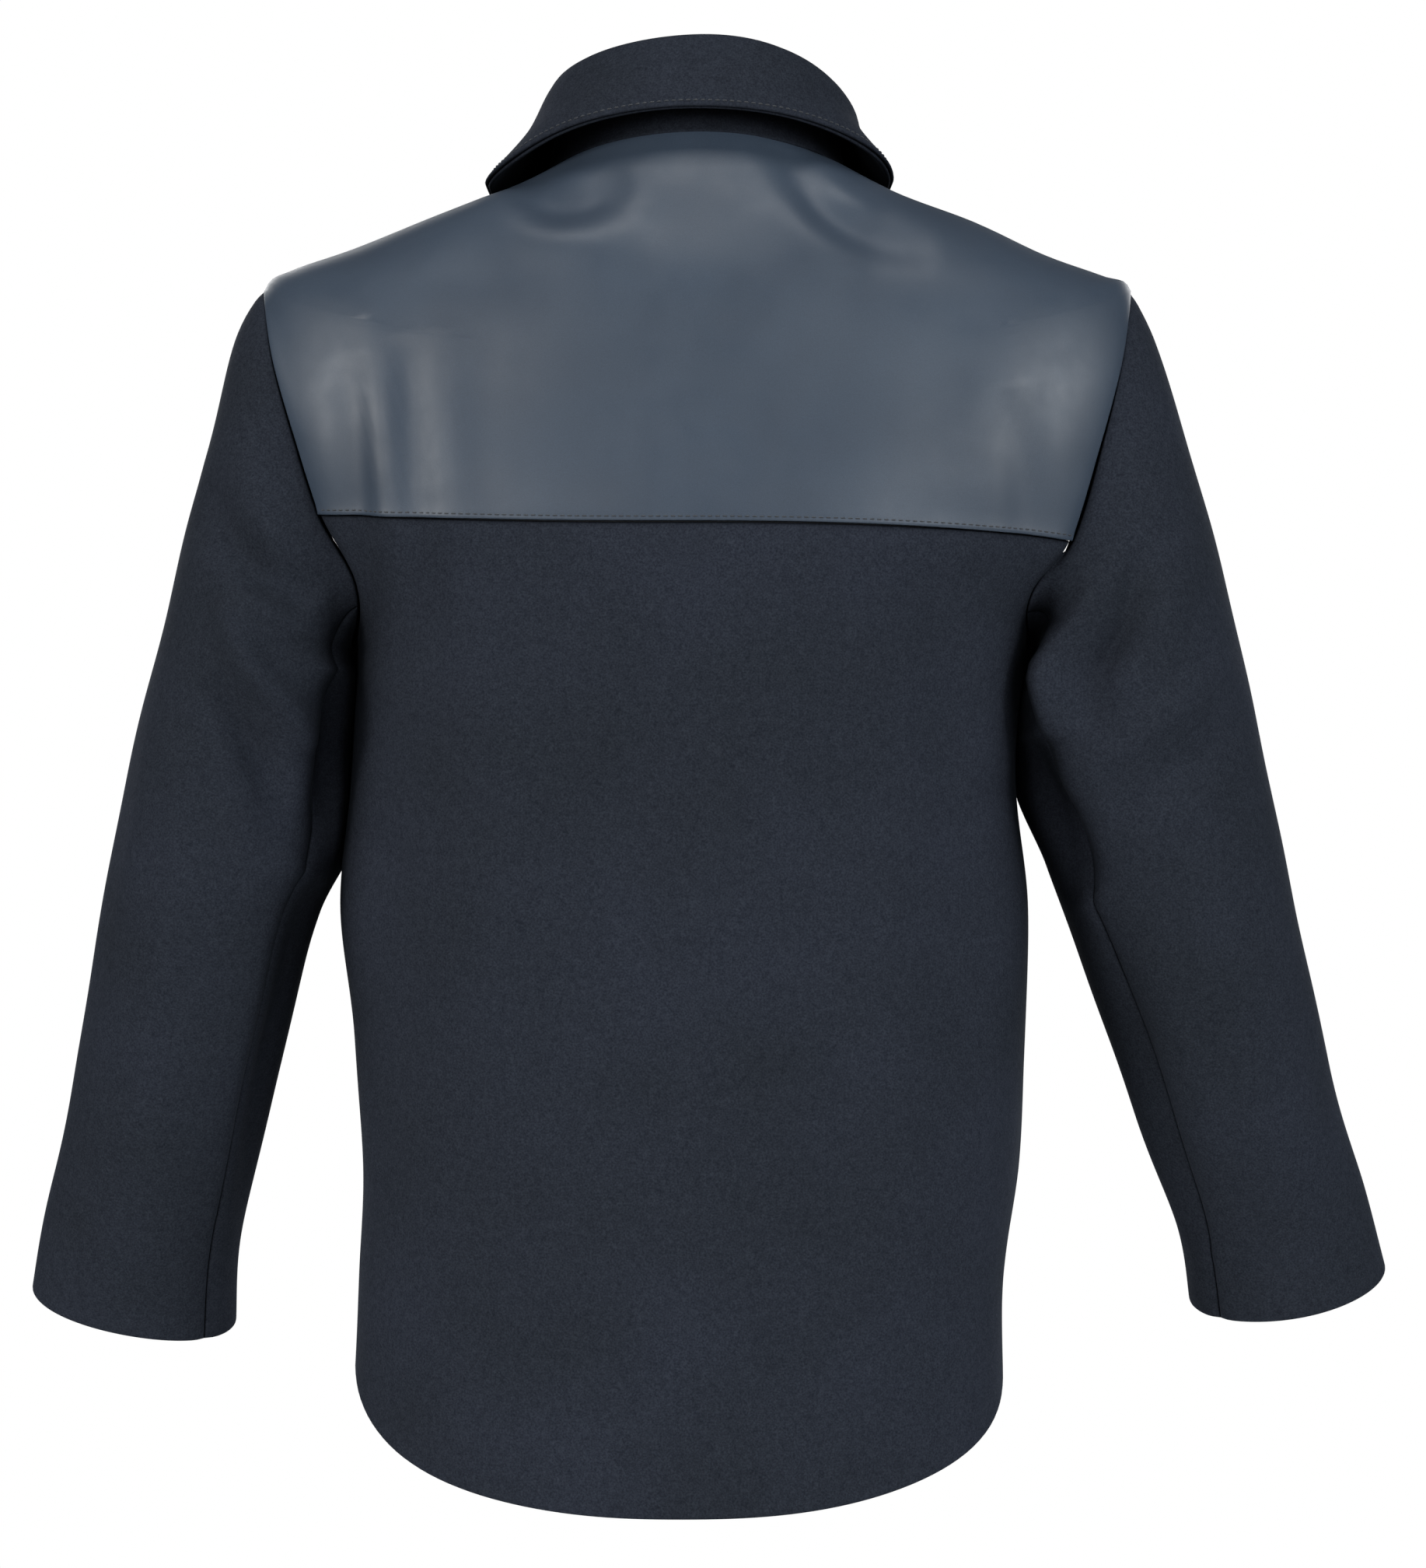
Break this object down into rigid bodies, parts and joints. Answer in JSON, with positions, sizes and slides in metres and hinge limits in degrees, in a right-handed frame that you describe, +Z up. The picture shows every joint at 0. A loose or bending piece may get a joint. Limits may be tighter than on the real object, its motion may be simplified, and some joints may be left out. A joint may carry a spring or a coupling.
{
  "type": "work jacket",
  "caption": "Hip-length wool work jacket with a leather-look shoulder yoke, turned-down collar, set-in sleeves, buttoned front and flap pockets.",
  "frame": {"origin": "middle of the hang loop, inside the collar at the centre back of the neck", "axes": "+Z up along the back, +Y out of the wearer's back, +X towards the wearer's left sleeve; the front faces -Y"},
  "size_m": [0.824, 0.2579, 0.8511],
  "materials": {
    "wool": "milled wool melton, dark navy",
    "hide": "satin coated leather-look, slate grey",
    "lining": "twill lining, black",
    "tape": "woven tape, black",
    "label": "woven, blank",
    "button": "moulded horn-look, satin black",
    "thread": "twisted polyester thread"
  },
  "bodies": {
    "torso": {"back_panel": "wool", "back_yoke": "hide", "front_yoke_left": "hide", "front_yoke_right": "hide", "top_collar": "wool", "under_collar": "wool", "back_neck_facing": "wool", "hang_loop": "tape", "label": "label", "back_lining": "lining", "chest_lining_left": "lining", "chest_lining_right": "lining", "chest_facing_left": "wool", "chest_facing_right": "wool", "button_1": "button", "button_shank_1": "thread", "button_2": "button", "button_shank_2": "thread"},
    "sleeve_left": {"top_sleeve_left": "wool", "under_sleeve_left": "wool", "sleeve_lining_left": "lining", "cuff_facing_left": "wool"},
    "sleeve_right": {"top_sleeve_right": "wool", "under_sleeve_right": "wool", "sleeve_lining_right": "lining", "cuff_facing_right": "wool"},
    "front_left": {"front_panel_left": "wool", "front_facing_left": "wool", "front_lining_left": "lining", "hip_pocket_left": "wool", "inner_pocket": "lining"},
    "front_right": {"front_panel_right": "wool", "front_facing_right": "wool", "front_lining_right": "lining", "hip_pocket_right": "wool", "button_3": "button", "button_shank_3": "thread", "button_4": "button", "button_shank_4": "thread", "button_5": "button", "button_shank_5": "thread"},
    "flap_left": {"pocket_flap_left": "wool"},
    "flap_right": {"pocket_flap_right": "wool"}
  },
  "joints": [
    {"name": "sleeve_left_raise", "type": "hinge", "parent": "torso", "child": "sleeve_left", "pos_m": [0.2585, -0.05, -0.078], "axis": [0, -1, 0], "range_deg": [0, 60]},
    {"name": "sleeve_right_raise", "type": "hinge", "parent": "torso", "child": "sleeve_right", "pos_m": [-0.2585, -0.05, -0.078], "axis": [0, 1, 0], "range_deg": [0, 60]},
    {"name": "front_left_open", "type": "hinge", "parent": "torso", "child": "front_left", "pos_m": [0.2035, -0.108, -0.48], "axis": [0, 0, 1], "range_deg": [0, 60]},
    {"name": "front_right_open", "type": "hinge", "parent": "torso", "child": "front_right", "pos_m": [-0.199, -0.108, -0.48], "axis": [0, 0, -1], "range_deg": [0, 60]},
    {"name": "flap_left_lift", "type": "hinge", "parent": "front_left", "child": "flap_left", "pos_m": [0.1962, -0.1335, -0.525], "axis": [-0.939, -0.3441, 0], "range_deg": [0, 130]},
    {"name": "flap_right_lift", "type": "hinge", "parent": "front_right", "child": "flap_right", "pos_m": [-0.1822, -0.1335, -0.525], "axis": [-0.939, 0.3441, 0], "range_deg": [0, 130]}
  ]
}
